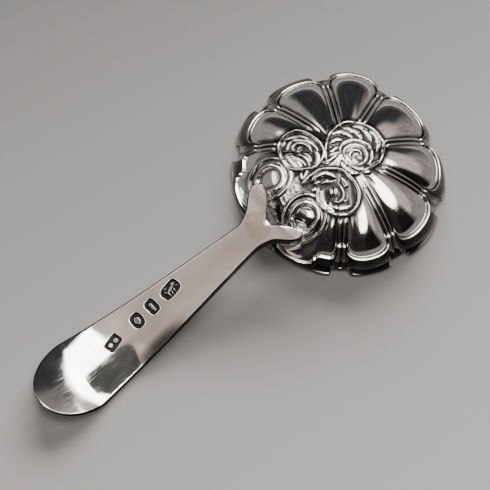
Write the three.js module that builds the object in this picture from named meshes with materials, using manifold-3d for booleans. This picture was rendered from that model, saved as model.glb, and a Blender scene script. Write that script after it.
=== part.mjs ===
// A silver caddy spoon that lies on its rim with the back of the bowl up.
// Millimetres, +Z up, +X from the end of the handle towards the far rim of the bowl, +Y to the left.
import * as THREE from "three";
import { mergeVertices } from "three/addons/utils/BufferGeometryUtils.js";
import Module from "manifold-3d";

// Bowl: one stamped sheet
const notchRadius = 14.45; // centre to the shoulder between two petals, across the spoon
const skirtReach = 3.85; // from there out to the rim at the end of a petal
const bowlLengthRatio = 0.962; // length of the bowl over its width
const rimNotchInset = 1.1; // how far the rim draws in between two petals
const rimPower = 4; // squareness of the rim's lobes
const rimDent = 0.7; // how far the rim is pressed in at one side
const rimDentAngle = -20; // middle of that stretch, in degrees from the far end
const rimDentSpread = 38; // half its length, in degrees
const rimSwell = 0.85; // the rim stands out by this much at the long petal
const rimSwellAngle = 40;
const rimSwellSpread = 15;
const rimEdgeHeight = 0.42; // the outer face ends this high above the rest surface
const sheetThickness = 0.55;
const domeHeight = 8.4; // rest surface to the top of the plain dome
const notchHeight = 3.7;
const petalReach = 2.15; // from there out to the shoulder at the end of a full petal
const petalHeight = 2.9;
const longPetalReach = 3; // the petal that was stretched a little more than the rest
const halfPetalReach = 1.15; // the narrow petal beside each leaf
const halfPetalHeight = 3.1;
const leafReach = 3.55; // the small leaf either side of the handle
const leafRimHeight = 1.5;
const heelReach = 1.95; // the stretch under the handle
const heelHeight = 2.9;
const skirtSlopeStart = 1.85; // slope of the flared skirt at the shoulder over its mean slope
const lipWidth = 0.7; // channel between the end of a petal and the shoulder's edge
const lipRise = 0.2; // how far the shoulder's edge stands above that channel
const petalBulge = 1.05; // how far a petal swells above the plain dome
const leafHollow = 0.35; // how far a leaf is scooped out below it
const domePower = 0.78; // fullness of the dome's profile, one for a paraboloid
const innerPower = 2; // squareness of a petal across its width, by the middle of the bowl
const outerPower = 2.4; // the same at its end

// Petals: edges between them, in degrees from the far end, the same on both sides
const reededEdges = [21.3, 58.9, 97.5, 131.1];
const plainEdges = [146, 169];
const reedCount = 3;
const reedBandWidth = 1.6; // the three reeds together, on the dome
const reedBandRimWidth = 3; // the same at the rim, where they fan out
const creaseWidth = 0.3; // a plain edge between two petals
const reedHeight = 0.26;
const reedInnerRadius = 6; // inside this radius the reeds no longer close up

// Ornament: two volutes at the handle and three leafy rosettes
const voluteRadius = 3.4;
const voluteX = -11;
const voluteSpread = 4.45; // centre of each volute from the spoon's middle plane
const sideRosetteRadius = 3.6;
const sideRosetteX = -5;
const sideRosetteSpread = 4.6;
const endRosetteRadius = 4.6;
const endRosetteX = 1.9;
const endRosetteY = -0.8;
const ringHeight = 0.5; // raised border of a volute or rosette
const bossHeight = 0.62;
const leafHeight = 0.34;
const ornamentRoot = 0.4; // how deep an ornament is let into the sheet

// Handle: one flat bar, forked at the bowl and turned up at its end
const handleSide = -0.87; // the handle was set on a little to one side
const handleEndX = -60.2;
const forkX = -16.4; // the crotch of the fork
const neckThickness = 1.8;
const armTipThickness = 1.7;
const armDroop = 0.1; // how far an arm's end bends down
const endThickness = 1.15;
const neckHalfWidth = 2.4;
const endHalfWidth = 6.05;
const neckX = -20.5;
const widestX = -52.8;
const flatX = -47.5; // where the handle lies lowest
const armLift = 3.76; // height of the top face at the fork over the bowl under an arm
const endRise = 2.3; // how far the rounded end turns up
const armWidth = 2.8;
const armTipX = -13.6;
const armTipSpread = 5.75; // middle of the arm's end from the handle's middle
const armRootX = -18.4;
const armRootSpread = 0.75;
const edgeRound = 0.4; // rounding of the handle's edges

// Punched ornaments on the flat of the handle
const punchDepth = 0.16;
const punchLength = 2.9;
const punchWidth = 2.1;
const punchPlaces = [-45.8, -41, -37.8, -34.2]; // along the handle
const punchSides = [0.75, 1.15, 1.45, 1.6]; // from the handle's middle
const punchOverrun = 0.6;

// Solder under each arm of the fork
const solderGap = 0.26; // clearance that keeps the solder's faces apart from bowl and handle
const solderSpread = 0.15; // how far the solder runs out beside the arm
const solderInnerX = -14.1; // middle of the solder at the end nearest the bowl's middle
const solderOuterX = -15.3;

const degrees = Math.PI / 180;
const bowlHalfWidth = notchRadius + skirtReach;
const shellShares = [0, 0.16, 0.3, 0.42, 0.53, 0.63, 0.72, 0.8, 0.87, 0.93, 0.975, 1];
const skirtShares = [0.22, 0.48, 0.75, 1];
const petalShares = [-0.88, -0.52, 0, 0.52, 0.88];
const mergeTolerance = 0.0001; // points nearer than this are one point

const wasm = await Module();
wasm.setup();

// Turns a closed geometry into a solid that can be joined and cut.
function solidFrom(geometry) {
  const bare = geometry.clone();
  bare.deleteAttribute("normal");
  bare.deleteAttribute("uv");
  const merged = mergeVertices(bare, mergeTolerance);
  const triVerts = new Uint32Array(merged.index.array);
  const vertProperties = new Float32Array(merged.attributes.position.array);
  return new wasm.Manifold(new wasm.Mesh({ numProp: 3, vertProperties, triVerts }));
}

// Turns a solid back into a geometry with flat shading.
function geometryFrom(solid) {
  const mesh = solid.getMesh();
  const geometry = new THREE.BufferGeometry();
  geometry.setAttribute("position", new THREE.BufferAttribute(mesh.vertProperties, 3));
  geometry.setIndex(new THREE.BufferAttribute(mesh.triVerts, 1));
  geometry.computeVertexNormals();
  return geometry;
}

// The largest body of a solid, which leaves out any speck of air shut in where two faces nearly meet.
function largestBody(solid) {
  return solid.decompose().reduce((most, body) => (body.volume() > most.volume() ? body : most));
}

// Closes a grid of points that goes round in each row into a skin; the ends stay open.
function skinRows(rows, faces, startIndex) {
  const columns = rows[0].length;
  for (let row = 0; row + 1 < rows.length; row++) {
    for (let column = 0; column < columns; column++) {
      const next = (column + 1) % columns;
      const a = startIndex + row * columns + column;
      const b = startIndex + row * columns + next;
      const c = a + columns;
      const d = b + columns;
      faces.push(a, c, b, b, c, d);
    }
  }
}

// A closed body from rings of points, with a fan to a point at each end.
function bodyFromRings(rings, firstPoint, lastPoint) {
  const points = [firstPoint, ...rings.flat(), lastPoint];
  const faces = [];
  const columns = rings[0].length;
  const last = points.length - 1;
  for (let column = 0; column < columns; column++) {
    const next = (column + 1) % columns;
    faces.push(0, 1 + column, 1 + next);
    faces.push(last, last - columns + next, last - columns + column);
  }
  skinRows(rings, faces, 1);
  const geometry = new THREE.BufferGeometry().setFromPoints(points);
  geometry.setIndex(faces);
  return geometry;
}

const smooth = (x, from, to) => THREE.MathUtils.smoothstep(x, from, to);
const mix = THREE.MathUtils.lerp;

const petalForms = {
  full: { radius: notchRadius + petalReach, height: petalHeight, bulge: petalBulge },
  long: { radius: notchRadius + longPetalReach, height: petalHeight, bulge: petalBulge },
  half: { radius: notchRadius + halfPetalReach, height: halfPetalHeight, bulge: petalBulge / 2 },
  leaf: { radius: notchRadius + leafReach, height: leafRimHeight, bulge: -leafHollow },
  heel: { radius: notchRadius + heelReach, height: heelHeight, bulge: 0 },
};

// The edges between the petals, going once round the bowl, each with the form of the petal after it.
function petalEdges() {
  const reeded = reededEdges.map((angle) => ({ angle, reeded: true }));
  const plain = plainEdges.map((angle) => ({ angle, reeded: false }));
  const side = [...reeded, ...plain];
  const left = side.map((edge, k) => ({ ...edge, form: ["long", "full", "full", "half", "leaf", "heel"][k] }));
  const right = side.map((edge, k) => ({
    ...edge,
    angle: -edge.angle,
    form: ["full", "full", "full", "full", "half", "leaf"][k],
  }));
  return [...right.reverse(), ...left];
}

const edges = petalEdges();

// Half the width that an edge's reeds or crease take, as an angle at this radius.
function edgeHalfAngle(edge, radius, bandWidth) {
  const width = edge.reeded ? bandWidth : creaseWidth;
  return Math.asin(width / 2 / Math.max(radius, reedInnerRadius)) / degrees;
}

// What lies at an angle: the petal's fullness for the shoulder, dome and rim, 0 at its edge to 1, and the reed.
function petalAt(angle, radius, bandWidth = reedBandWidth) {
  const turned = THREE.MathUtils.euclideanModulo(angle + 180, 360) - 180;
  let before = edges.findLastIndex((edge) => edge.angle <= turned);
  before = before < 0 ? edges.length - 1 : before;
  const low = edges[before];
  const high = edges[(before + 1) % edges.length];
  const lowAngle = low.angle > turned ? low.angle - 360 : low.angle;
  const highAngle = high.angle < turned ? high.angle + 360 : high.angle;
  const lowHalf = edgeHalfAngle(low, radius, bandWidth);
  const highHalf = edgeHalfAngle(high, radius, bandWidth);
  const from = lowAngle + lowHalf;
  const to = highAngle - highHalf;
  const across = Math.min(1, Math.abs((2 * turned - from - to) / (to - from)));
  const power = mix(innerPower, outerPower, smooth(radius, notchRadius / 2, notchRadius));
  const fullness = (1 - across ** power) ** (1 / power);
  const crown = 1 - across ** 2;
  const rimShare = (1 - across ** rimPower) ** (1 / rimPower);
  const nearLow = turned - lowAngle < highAngle - turned;
  const edge = nearLow ? low : high;
  const offset = nearLow ? (turned - lowAngle) / lowHalf : (highAngle - turned) / highHalf;
  const inBand = edge.reeded && offset < 1;
  const reed = inBand ? (1 + Math.cos(Math.PI * (reedCount * offset))) / 2 : 0;
  return { fullness, crown, rimShare, reed, form: petalForms[low.form] };
}

// Where the shoulder's edge runs for what lies at an angle.
function shoulderAt({ fullness, form }) {
  return {
    edgeRadius: mix(notchRadius, form.radius, fullness),
    edgeHeight: mix(notchHeight, form.height, fullness),
  };
}

// Height of the bowl's outer face above the rest surface, inside the lip, at an angle and radius.
function domeTop(angle, radius) {
  const petal = petalAt(angle, radius);
  const { crown, reed, form } = petal;
  const { edgeRadius, edgeHeight } = shoulderAt(petal);
  const endHeight = edgeHeight - lipRise;
  const share = Math.min(radius / (edgeRadius - lipWidth), 1);
  const plain = endHeight + (domeHeight - endHeight) * (1 - share ** 2) ** domePower;
  const swell = form.bulge * crown * share ** 2 * (1 - share ** 8);
  const reedFade = smooth(radius, reedInnerRadius * 0.8, reedInnerRadius * 1.2);
  return plain + swell + reedHeight * reed * reedFade * (1 - share ** 12);
}

// The same at a point of the plan.
function domeTopAt(x, y) {
  const along = x / bowlLengthRatio;
  return domeTop(Math.atan2(y, along) / degrees, Math.hypot(along, y));
}

const forkTop = domeTopAt(solderInnerX, handleSide + armTipSpread) + armLift; // top face at the fork

// Bowl profile

// Radius of the rim for what lies at an angle; the rim is a little out of round.
function rimRadiusAt(angle, { rimShare }) {
  const dent = rimDent * Math.exp(-(((angle - rimDentAngle) / rimDentSpread) ** 2));
  const swell = rimSwell * Math.exp(-(((angle - rimSwellAngle) / rimSwellSpread) ** 2));
  return bowlHalfWidth - dent + swell - rimNotchInset * (1 - rimShare);
}

// The outer face's profile along one column's rule, from the middle out to the rim: radius, height and angle.
function outerProfile(angleAt) {
  const profile = [];
  for (const share of shellShares) {
    const inwardAngle = angleAt(share * notchRadius, reedBandWidth);
    const inward = shoulderAt(petalAt(inwardAngle, share * notchRadius));
    const radius = share * (inward.edgeRadius - lipWidth);
    const angle = angleAt(radius, reedBandWidth);
    profile.push({ radius, height: domeTop(angle, radius), angle });
  }
  const rimAngle = angleAt(bowlHalfWidth, reedBandRimWidth);
  const outAngle = angleAt(notchRadius, reedBandWidth);
  const petal = petalAt(outAngle, notchRadius);
  const { edgeRadius, edgeHeight } = shoulderAt(petal);
  const rimRadius = rimRadiusAt(outAngle, petal);
  const rib = reedHeight * petal.reed;
  profile.push({ radius: edgeRadius, height: edgeHeight, angle: outAngle });
  for (const outShare of skirtShares) {
    const downShare = (skirtSlopeStart * outShare - (skirtSlopeStart - 1) * outShare ** 2);
    profile.push({
      radius: mix(edgeRadius, rimRadius, outShare) + rib * (1 - outShare),
      height: mix(edgeHeight, rimEdgeHeight, downShare),
      angle: mix(outAngle, rimAngle, downShare),
    });
  }
  profile.push({ radius: rimRadius, height: 0, angle: rimAngle });
  return profile;
}

// The inner face's profile: every other point of the outer one, set in by the sheet's thickness.
function innerProfile(outer) {
  const inner = [];
  for (let k = outer.length - 1; k > 0; k -= 2) {
    const here = outer[k];
    const ahead = outer[Math.min(k + 1, outer.length - 1)];
    const behind = outer[k - 1];
    const run = ahead.radius - behind.radius;
    const fall = behind.height - ahead.height;
    const slope = Math.hypot(run, fall);
    const radius = here.radius - (sheetThickness * fall) / slope;
    const height = here.height - (sheetThickness * run) / slope;
    const atRim = k === outer.length - 1;
    inner.push({
      radius: atRim ? here.radius - sheetThickness : radius,
      height: atRim ? 0 : Math.max(height, 0),
      angle: here.angle,
    });
  }
  return inner;
}

function pointOf({ radius, height, angle }) {
  const x = radius * Math.cos(angle * degrees) * bowlLengthRatio;
  return new THREE.Vector3(x, radius * Math.sin(angle * degrees), height);
}

// The rules that say where each column of the bowl's grid runs: along a reed or along a petal.
function columnRules() {
  const rules = [];
  edges.forEach((low, k) => {
    const bandSteps = low.reeded ? reedCount : 1;
    for (let step = -bandSteps; step <= bandSteps; step++) {
      rules.push((radius, bandWidth) =>
        low.angle + (step / bandSteps) * edgeHalfAngle(low, radius, bandWidth));
    }
    const high = edges[(k + 1) % edges.length];
    const highAngle = high.angle > low.angle ? high.angle : high.angle + 360;
    for (const share of petalShares) {
      rules.push((radius, bandWidth) => {
        const from = low.angle + edgeHalfAngle(low, radius, bandWidth);
        const to = highAngle - edgeHalfAngle(high, radius, bandWidth);
        return mix(from, to, (1 + share) / 2);
      });
    }
  });
  return rules;
}

function stampedSheet() {
  const outer = columnRules().map(outerProfile);
  const inner = outer.map(innerProfile);
  const whole = outer.map((profile, k) => [...profile.slice(1), ...inner[k]]);
  const rings = whole[0].map((_, row) => whole.map((profile) => pointOf(profile[row])));
  const top = new THREE.Vector3(0, 0, domeHeight);
  const underTop = new THREE.Vector3(0, 0, domeHeight - sheetThickness);
  return bodyFromRings(rings, top, underTop);
}

// Ornament: each one is a patch of the dome with its relief on it, let into the sheet

const ridge = (distance, width) => Math.exp(-((distance / width) ** 2));

// Relief of a volute: a rolled border, a ring inside it and a round boss.
function voluteRelief(share) {
  const border = ringHeight * ridge(share - 0.84, 0.13);
  const ring = 0.6 * ringHeight * ridge(share - 0.52, 0.07);
  const boss = bossHeight * Math.sqrt(Math.max(0, 1 - (share / 0.36) ** 2));
  return border + ring + boss;
}

// Relief of a rosette: a rolled border round leaves that swirl about a bud.
function rosetteRelief(share, turn, leaves, twist) {
  const border = ringHeight * ridge(share - 0.88, 0.09);
  const wave = (1 + Math.cos(leaves * turn + twist * share)) / 2;
  const leafy = leafHeight * wave * smooth(share, 0.15, 0.4) * (1 - smooth(share, 0.68, 0.8));
  const bud = bossHeight * 0.8 * Math.sqrt(Math.max(0, 1 - (share / 0.26) ** 2));
  return border + leafy + bud;
}

function ornament({ x, y, radius, relief, turns, shares }) {
  const ringAt = (share, heightAt) =>
    Array.from({ length: turns }, (_, k) => {
      const turn = (k / turns) * 2 * Math.PI;
      const px = x + radius * share * Math.cos(turn);
      const py = y + radius * share * Math.sin(turn);
      return new THREE.Vector3(px, py, domeTopAt(px, py) + heightAt(share, turn));
    });
  const fade = (share) => 1 - smooth(share, 0.92, 1);
  const top = shares.map((share) =>
    ringAt(share, (s, turn) => relief(s, turn) * fade(s) - (s === 1 ? ornamentRoot / 2 : 0)));
  const under = [1, 0.78, 0.5, 0.25].map((share) => ringAt(share, () => -ornamentRoot));
  const middle = new THREE.Vector3(x, y, domeTopAt(x, y) + relief(0, 0));
  const below = new THREE.Vector3(x, y, domeTopAt(x, y) - ornamentRoot);
  return bodyFromRings([...top, ...under], middle, below);
}

const voluteShares = [0.14, 0.26, 0.36, 0.44, 0.52, 0.62, 0.74, 0.84, 0.94, 1];
const rosetteShares = [0.12, 0.22, 0.32, 0.45, 0.58, 0.7, 0.8, 0.88, 0.95, 1];
const ornaments = [
  ...[1, -1].map((side) => ({
    x: voluteX,
    y: side * voluteSpread,
    radius: voluteRadius,
    relief: voluteRelief,
    turns: 24,
    shares: voluteShares,
  })),
  ...[1, -1].map((side) => ({
    x: sideRosetteX,
    y: side * sideRosetteSpread,
    radius: sideRosetteRadius,
    relief: (share, turn) => rosetteRelief(share, turn * side, 5, 5),
    turns: 30,
    shares: rosetteShares,
  })),
  {
    x: endRosetteX,
    y: endRosetteY,
    radius: endRosetteRadius,
    relief: (share, turn) => rosetteRelief(share, turn, 7, 5),
    turns: 36,
    shares: rosetteShares,
  },
];

// Height of the ornaments' faces over the dome at a point, or zero beside them.
function reliefAt(x, y) {
  const heights = ornaments.map((item) => {
    const share = Math.hypot(x - item.x, y - item.y) / item.radius;
    const turn = Math.atan2(y - item.y, x - item.x);
    return share < 1 ? item.relief(share, turn) * (1 - smooth(share, 0.92, 1)) : 0;
  });
  return Math.max(...heights);
}

function bowlGeometry() {
  const sheet = solidFrom(stampedSheet());
  const dressed = ornaments.reduce((body, item) => body.add(solidFrom(ornament(item))), sheet);
  return geometryFrom(largestBody(dressed));
}

// Handle

function barThickness(x) {
  return mix(endThickness, neckThickness, smooth(x, widestX, neckX));
}

// Height of the handle's top face at a place along it; the flat part lies on the rest surface.
function handleTop(x) {
  const down = smooth(x, flatX, forkX + (forkX - neckX) / 2);
  const straight = Math.max(0, (x - flatX) / (forkX - flatX));
  const slope = mix(down, straight ** 1.6, 0.55);
  const past = Math.max(0, (flatX - x) / (flatX - handleEndX));
  const droop = armDroop * Math.max(0, (x - forkX) / (armTipX - forkX)) ** 2;
  const flatTop = barThickness(flatX);
  return flatTop + (forkTop - flatTop) * slope + endRise * past ** 2.4 - droop;
}

function handleThickness(x) {
  return mix(barThickness(x), armTipThickness, smooth(x, armRootX, armTipX));
}

// Half the handle's width at a place along it, with the rounded end.
function handleHalfWidth(x) {
  const taper = THREE.MathUtils.clamp((x - widestX) / (neckX - widestX), 0, 1);
  const side = mix(endHalfWidth, neckHalfWidth, taper ** 0.93);
  const past = Math.min(1, Math.max(0, (widestX - x) / (widestX - handleEndX)));
  return side * Math.sqrt(1 - past ** 2);
}

// A ring of points round a flat bar's section, with rounded edges.
function barSection(centre, across, halfWidth, thickness) {
  const round = Math.min(edgeRound, thickness / 2, halfWidth / 2);
  const flat = Math.max(halfWidth - round, 0);
  const corners = [
    [halfWidth, -thickness / 2],
    [flat + round * 0.7, -round * 0.3],
    [flat, 0],
    [flat / 2, 0],
    [0, 0],
    [-flat / 2, 0],
    [-flat, 0],
    [-flat - round * 0.7, -round * 0.3],
    [-halfWidth, -thickness / 2],
    [-flat - round * 0.7, -thickness + round * 0.3],
    [-flat, -thickness],
    [0, -thickness],
    [flat, -thickness],
    [flat + round * 0.7, -thickness + round * 0.3],
  ];
  const up = new THREE.Vector3(0, 0, 1);
  return corners.map(([side, drop]) =>
    centre.clone().addScaledVector(across, side).addScaledVector(up, drop));
}

const acrossHandle = new THREE.Vector3(0, 1, 0);

// Places along the stem: even ones down to the widest, then closer ones round the end.
function stemStations() {
  const barSteps = 22;
  const endSteps = 9;
  const bar = Array.from({ length: barSteps }, (_, k) => mix(forkX, widestX, (k + 1) / barSteps));
  const end = Array.from({ length: endSteps }, (_, k) =>
    mix(widestX, handleEndX, Math.sin(((k + 1) / (endSteps + 0.5)) * 90 * degrees)));
  return [...bar, ...end];
}

function stem() {
  const rings = stemStations().map((x) => {
    const centre = new THREE.Vector3(x, handleSide, handleTop(x));
    return barSection(centre, acrossHandle, handleHalfWidth(x), handleThickness(x));
  });
  const start = new THREE.Vector3(forkX, handleSide, handleTop(forkX) - handleThickness(forkX) / 2);
  const end = new THREE.Vector3(handleEndX, handleSide, handleTop(handleEndX) - endThickness / 2);
  return bodyFromRings(rings, start, end);
}

// The middle line of one arm of the fork, from the stem out to its end.
function armPath(side) {
  const root = new THREE.Vector3(armRootX, handleSide + side * armRootSpread, 0);
  const tip = new THREE.Vector3(armTipX, handleSide + side * armTipSpread, 0);
  const bend = new THREE.Vector3(mix(armRootX, armTipX, 0.6), mix(root.y, tip.y, 0.4), 0);
  return new THREE.QuadraticBezierCurve3(root, bend, tip);
}

function forkArm(side) {
  const path = armPath(side);
  const steps = 12;
  const rings = [];
  for (let step = 0; step <= steps; step++) {
    const share = step / steps;
    const place = path.getPoint(share);
    const along = path.getTangent(share);
    const across = new THREE.Vector3(-along.y, along.x, 0);
    const blunt = Math.sqrt(Math.max(0, 1 - (Math.max(0, share - 0.8) / 0.21) ** 2));
    place.z = handleTop(place.x);
    rings.push(barSection(place, across, (armWidth / 2) * blunt, handleThickness(place.x)));
  }
  const start = path.getPoint(0);
  start.z = handleTop(start.x) - handleThickness(start.x) / 2;
  const end = path.getPoint(1);
  end.z = handleTop(end.x) - handleThickness(end.x) / 2;
  return bodyFromRings(rings.reverse(), end, start);
}

// The outline of one punch, by its number: a square, a rhomb, an oblong with cut corners or an oval.
function punchOutline(kind) {
  const sides = [4, 4, 8, 20][kind];
  const turn = [45, 0, 22.5, 0][kind] * degrees;
  const shape = new THREE.Shape();
  for (let k = 0; k < sides; k++) {
    const angle = turn + (k / sides) * 2 * Math.PI;
    shape.lineTo((punchLength / 2) * Math.cos(angle), (punchWidth / 2) * Math.sin(angle));
  }
  return shape;
}

function punch(kind) {
  const x = punchPlaces[kind];
  const rise = (handleTop(x + punchWidth) - handleTop(x - punchWidth)) / 2 / punchWidth;
  const tool = new THREE.ExtrudeGeometry(punchOutline(kind), { depth: punchOverrun, bevelEnabled: false });
  const place = new THREE.Vector3(x, handleSide + punchSides[kind], handleTop(x) - punchDepth);
  return tool.rotateY(-Math.atan(rise)).translate(place.x, place.y, place.z);
}

function handleGeometry() {
  let bar = solidFrom(stem());
  for (const side of [1, -1]) {
    bar = bar.add(solidFrom(forkArm(side)));
  }
  for (const kind of punchPlaces.keys()) {
    bar = bar.subtract(solidFrom(punch(kind)));
  }
  return geometryFrom(bar);
}

// Solder: a small pad that fills the space between an arm and the bowl
function solderGeometry(side) {
  const path = armPath(side);
  const shareAt = (x) => (x - armRootX) / (armTipX - armRootX);
  const steps = 6;
  const columns = 6;
  const rings = [];
  for (let step = 0; step <= steps; step++) {
    const share = shareAt(mix(solderOuterX, solderInnerX, step / steps));
    const place = path.getPoint(share);
    const along = path.getTangent(share);
    const across = new THREE.Vector3(-along.y, along.x, 0);
    const ring = [];
    for (let k = 0; k <= columns; k++) {
      const p = place.clone().addScaledVector(across, (0.5 - k / columns) * armWidth * 0.86);
      ring.push(new THREE.Vector3(p.x, p.y, handleTop(p.x) - handleThickness(p.x) - solderGap));
    }
    for (let k = columns; k >= 0; k--) {
      const p = place.clone().addScaledVector(across, (0.5 - k / columns) * (armWidth + 2 * solderSpread));
      ring.push(new THREE.Vector3(p.x, p.y, domeTopAt(p.x, p.y) + reliefAt(p.x, p.y) + solderGap));
    }
    rings.push(ring);
  }
  const middleOf = (ring) =>
    ring.reduce((sum, p) => sum.add(p), new THREE.Vector3()).divideScalar(ring.length);
  rings.reverse();
  return bodyFromRings(rings, middleOf(rings[0]), middleOf(rings[steps]));
}

// Finishes
const silver = { color: 0xc9c6c2, metalness: 1, roughness: 0.16 };
const solderSilver = { color: 0xbdb29a, metalness: 1, roughness: 0.38 };

function piece(name, geometry, finish) {
  const mesh = new THREE.Mesh(geometry, new THREE.MeshStandardMaterial(finish));
  mesh.name = name;
  return mesh;
}

const spoon = new THREE.Group();
spoon.add(piece("bowl", bowlGeometry(), silver));
spoon.add(piece("handle", handleGeometry(), silver));
spoon.add(piece("solder_left", solderGeometry(1), solderSilver));
spoon.add(piece("solder_right", solderGeometry(-1), solderSilver));

// The part's own frame has its origin under the middle of the whole spoon.
const bounds = new THREE.Box3().setFromObject(spoon);
const middle = bounds.getCenter(new THREE.Vector3());
spoon.position.set(-middle.x, -middle.y, -bounds.min.z);

export default spoon;
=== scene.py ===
"""A silver caddy spoon that lies on its rim with the back of the bowl up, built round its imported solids."""
import math

import bpy
import numpy as np
from bpy.props import FloatProperty, FloatVectorProperty, IntProperty, PointerProperty
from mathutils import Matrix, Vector
from mathutils.bvhtree import BVHTree
from mathutils.geometry import delaunay_2d_cdt


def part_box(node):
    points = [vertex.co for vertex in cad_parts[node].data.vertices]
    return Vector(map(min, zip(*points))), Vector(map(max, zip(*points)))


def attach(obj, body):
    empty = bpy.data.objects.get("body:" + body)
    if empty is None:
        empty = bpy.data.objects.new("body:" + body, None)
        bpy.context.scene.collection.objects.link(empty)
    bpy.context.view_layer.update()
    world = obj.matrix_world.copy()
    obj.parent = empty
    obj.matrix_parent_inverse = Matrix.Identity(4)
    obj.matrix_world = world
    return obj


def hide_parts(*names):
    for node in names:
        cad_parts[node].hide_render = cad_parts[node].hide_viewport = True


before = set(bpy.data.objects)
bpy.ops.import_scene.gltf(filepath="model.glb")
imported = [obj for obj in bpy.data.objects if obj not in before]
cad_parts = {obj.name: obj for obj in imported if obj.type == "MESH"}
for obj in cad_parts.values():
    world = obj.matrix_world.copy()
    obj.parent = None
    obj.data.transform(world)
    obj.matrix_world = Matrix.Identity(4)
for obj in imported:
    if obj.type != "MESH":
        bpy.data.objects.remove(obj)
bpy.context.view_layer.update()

bl_info = {
    "name": "Silver caddy spoon",
    "version": (1, 0, 0),
    "blender": (4, 5, 0),
    "location": "3D View > Sidebar > Spoon",
    "description": "Builds a caddy spoon with a petalled bowl and a forked handle, lying back up",
    "category": "Object",
}

MM = 0.001
HANDLE_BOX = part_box("handle")

# Bowl, millimetres from its middle on the rest surface
LENGTH_RATIO = 0.962
RIM_RADIUS = 18.26
RIM_INSET = 1.1
RIM_POWER = 4
# Where the rim is pressed in, and where it stands out: how far, then the middle and reach in degrees
RIM_DENT = (0.7, -20.0, 38.0)
RIM_SWELL = (0.85, 40.0, 15.0)
RIM_EDGE = 0.42
SKIRT_START = 1.85  # slope of the flared skirt at the shoulder over its mean slope
NOTCH_RADIUS = 14.45
NOTCH_HEIGHT = 3.7
# An edge without reeds: radius and height of the shoulder, and its share of the rim's inset
PLAIN_NOTCH = (16.9, 2.2, 0.1)
LIP_WIDTH = 0.52
LIP_RISE = 0.11
DOME_POWER = 0.78
INNER_POWER = 2  # squareness of a petal across its width, by the middle of the bowl
OUTER_POWER = 2.4  # the same at its end
CREASE = 0.3
REED_BAND = 1.6
REED_BAND_RIM = 3.0
REED_INNER = 6.0
REED_LIMIT = 1.01  # reeds lie where a point's offset from their middle is below this
NO_REED = 2  # the offset of a point that lies on no reed
EDGE_ANGLES = (21.3, 58.9, 97.5, 131.1, 146.0, 169.0)  # degrees from the far end, the same on both sides
REEDED_COUNT = 4  # the first of these edges carry reeds
LEFT_FORMS = ("long", "full", "full", "half", "dish", "heel")
RIGHT_FORMS = ("full", "full", "full", "full", "half", "dish")
# Radius and height of the shoulder, swell over the dome, share of the lip and mesh columns of each form
FORMS = {
    "full": (16.6, 2.9, 1.0, 1.0, 42),
    "long": (17.45, 2.9, 1.0, 1.0, 42),
    "half": (16.3, 2.6, 0.4, 0.2, 16),
    "dish": (18.0, 1.5, -1.2, 0.2, 27),
    "heel": (16.4, 2.9, 0.0, 0.2, 24),
}
BAND_STEPS = {True: 7, False: 2}  # mesh columns each side of an edge, with reeds or without
DOME_ROWS = 110
DOME_END_ROWS = 26
DOME_END = 0.86
# The channel at a petal's end and the rounded edge outside it: share of the width, then of the rise
LIP_ROWS = (
    (0.06, 0.0), (0.14, 0.06), (0.26, 0.25), (0.4, 0.5), (0.54, 0.78), (0.64, 0.93), (0.72, 1.0),
    (0.8, 0.98), (0.88, 0.84), (0.94, 0.62), (1.0, 0.3),
)
SKIRT_ROWS = 12
# Painted shade on the flared skirt, darkest at its top, and on the grooves at the petals' ends, which also
# hold some tarnish
SKIRT_PAINTED_SHADE = 0.8
CHANNEL_TARNISH_AND_SHADE = 0.8
BAND_TARNISH_AND_SHADE = 0.45  # share of those two between the petals
ROSETTE_TARNISH = 0.35
VOLUTE_POLISH = 0.65  # share of the tarnish that is rubbed off the volutes
HOLLOW_ROUNDS = 24  # rounds of smoothing that tell a hollow from what lies round it
# The rim's rounded edge: how far in, for a sheet as thick as this, and how high
RIM_ROWS = ((0.0, 0.3), (0.02, 0.12), (0.09, 0.02), (0.2, 0.0), (0.34, 0.0), (0.45, 0.03), (0.5, 0.1))
RIM_ROWS_SHEET = 0.55
INNER_ROWS = (-4, -7, -10, -14, -20, -30, -55, -85, -115, -138)  # outer rows that the inside follows

# Ornament pressed into the bowl. Borders of the rosettes: whether they close, then x and y along them
RINGS = (
    (True, (-6.99, 7.4, -5.87, 8.26, -4.62, 8.33, -3.23, 7.79, -2.39, 6.59, -1.89, 4.75, -1.85, 3.1, -2.52,
        1.86, -3.72, 1.12, -5.29, 1.16, -6.58, 2.03, -7.73, 3.56, -7.8, 5.42)),
    (False, (-2.82, 0.98, -1.71, 2.29, -0.32, 3.43, 1.44, 4.04, 3.25, 3.94, 4.5, 3.2, 5.63, 2.02, 6.27,
        0.36, 6.37, -1.23, 6.14, -2.63, 4.99, -3.74, 3.72, -4.47, 2.17, -4.57, 0.54, -4.25)),
    (False, (-8.02, 0.28, -6.54, 0.38, -4.88, 0.21, -3.55, -0.62, -2.42, -1.69, -1.95, -2.83, -1.85, -4.4,
        -2.09, -5.91, -2.82, -7.11, -3.93, -7.89, -5.22, -8.03, -6.26, -7.42, -7.34, -6.49, -7.91, -4.99,
        -7.97, -3.58, -7.49, -2.5, -6.74, -1.94)),
)
RING_HALF_WIDTH = 0.32
RING_HEIGHT = 0.5
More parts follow.
